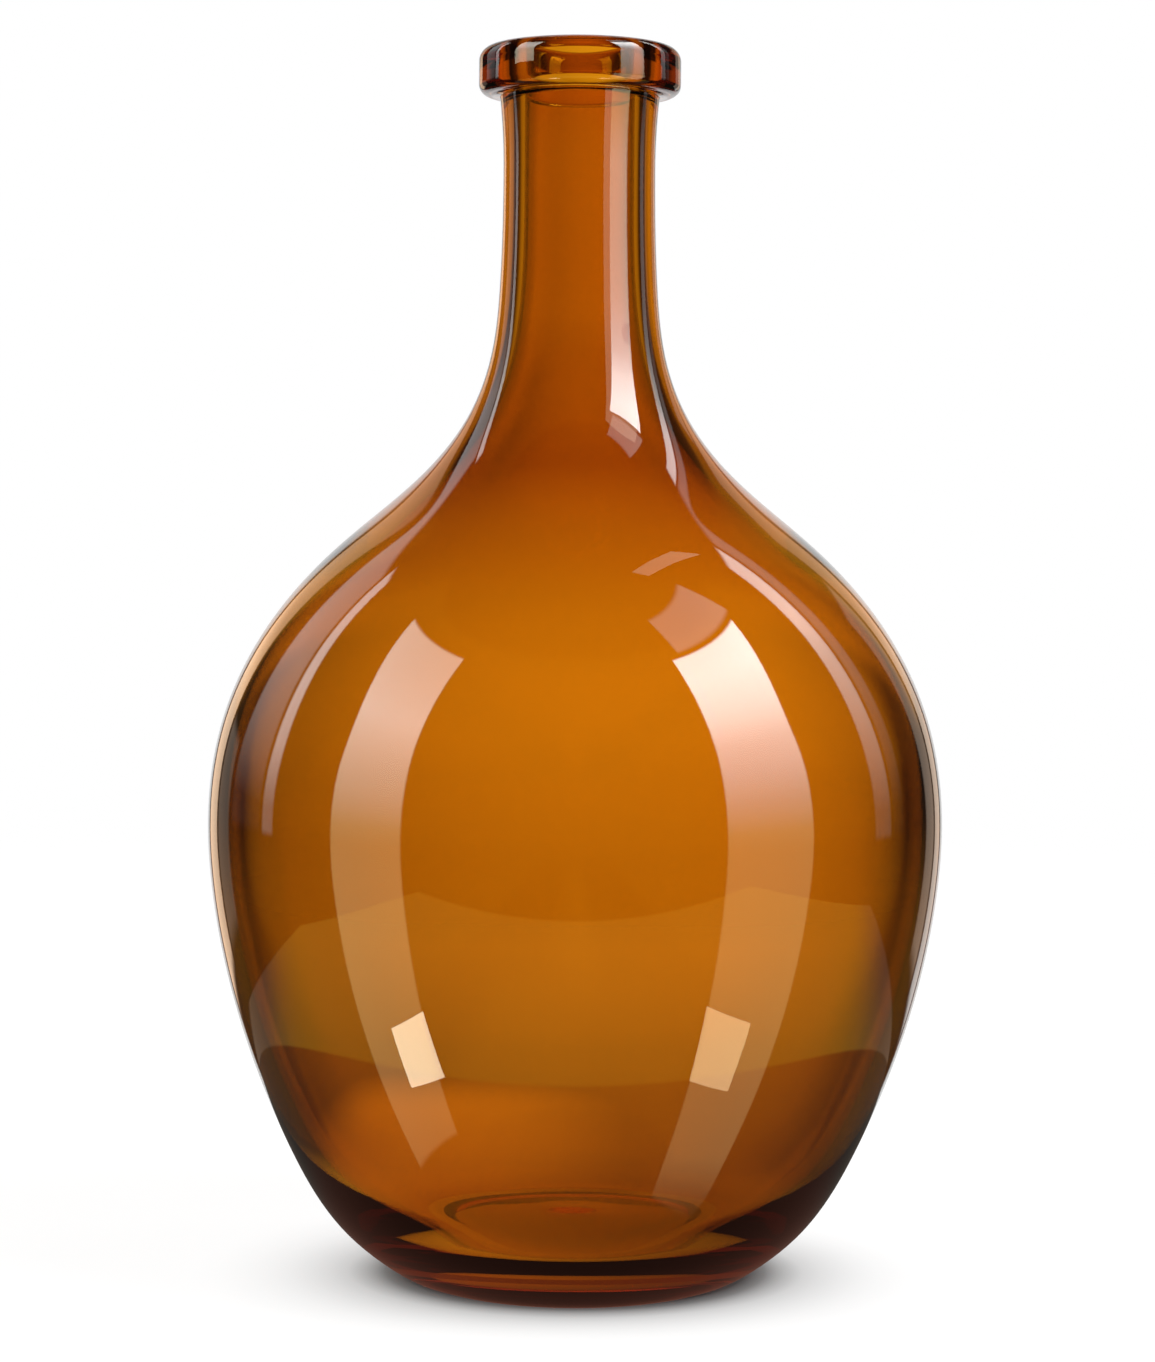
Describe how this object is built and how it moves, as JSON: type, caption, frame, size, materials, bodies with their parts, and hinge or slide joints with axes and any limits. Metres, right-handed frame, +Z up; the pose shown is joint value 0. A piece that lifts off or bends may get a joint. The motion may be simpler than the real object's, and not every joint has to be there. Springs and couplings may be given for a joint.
{
  "type": "bottle vase",
  "caption": "Tall free-standing bottle vase of thick amber glass, with a broad egg-shaped belly, a long slim neck and a rounded lip ring.",
  "frame": {"origin": "centre of the foot, on the surface that the vase stands on", "axes": "+Z up along the vase's axis, out of its mouth; the vase is round, so X and Y are free"},
  "size_m": [0.2398, 0.2398, 0.4],
  "materials": {
    "amber_glass": "smooth, fire-polished, clear amber glass"
  },
  "bodies": {
    "root": {"blown_body": "amber_glass", "lip_ring": "amber_glass"}
  },
  "joints": []
}
